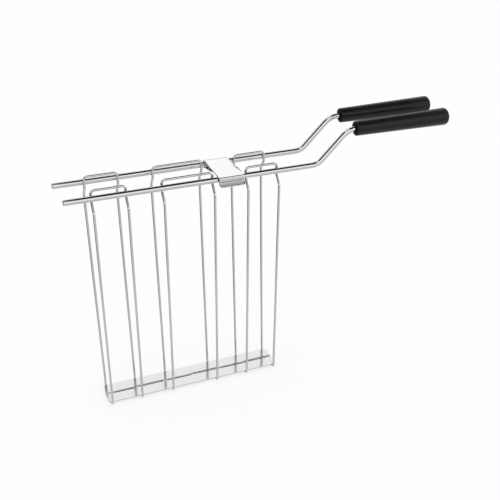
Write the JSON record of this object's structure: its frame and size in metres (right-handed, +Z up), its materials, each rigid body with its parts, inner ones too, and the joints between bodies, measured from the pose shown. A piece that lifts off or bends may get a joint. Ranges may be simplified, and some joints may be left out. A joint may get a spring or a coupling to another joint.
{
  "type": "toaster sandwich rack",
  "caption": "Hinged wire sandwich rack for a slot toaster, with two cranked handle rods, black grips and a latch plate that hooks the halves together.",
  "frame": {"origin": "on the table, under the middle of the whole rack; the base hinge runs 1.15 mm above the X axis", "axes": "+X along the rods from the free tips to the grips, +Y through the bread from the near half to the far half, +Z up"},
  "size_m": [0.2778, 0.0414, 0.1941],
  "materials": {
    "chrome": "bright chromed steel rod and wire",
    "polished_sheet": "chromed sheet, bright with a faint rolled grain",
    "brushed_sheet": "pale satin steel sheet",
    "grip_plastic": "black moulded plastic, satin"
  },
  "bodies": {
    "far_side": {"far_rod": "chrome", "far_grip": "grip_plastic", "far_wire_left": "chrome", "far_wire_middle": "chrome", "far_wire_right": "chrome", "far_base_leaf": "polished_sheet", "hinge_pin": "chrome"},
    "near_side": {"near_rod": "chrome", "near_grip": "grip_plastic", "near_wire_left": "chrome", "near_wire_middle": "chrome", "near_wire_right": "chrome", "near_base_leaf": "polished_sheet"},
    "latch": {"latch_plate": "brushed_sheet"}
  },
  "joints": [
    {"name": "latch_lift", "type": "hinge", "parent": "far_side", "child": "latch", "pos_m": [-0.0271, 0.0141, 0.1657], "axis": [-1, 0, 0], "range_deg": [0, 240]},
    {"name": "base_hinge", "type": "hinge", "parent": "far_side", "child": "near_side", "pos_m": [-0.0557, 0, 0.00115], "axis": [1, 0, 0], "range_deg": [0, 15]}
  ],
  "couplings": [
    {"joint": "base_hinge", "follows": "latch_lift", "ratio": 0.0625}
  ]
}
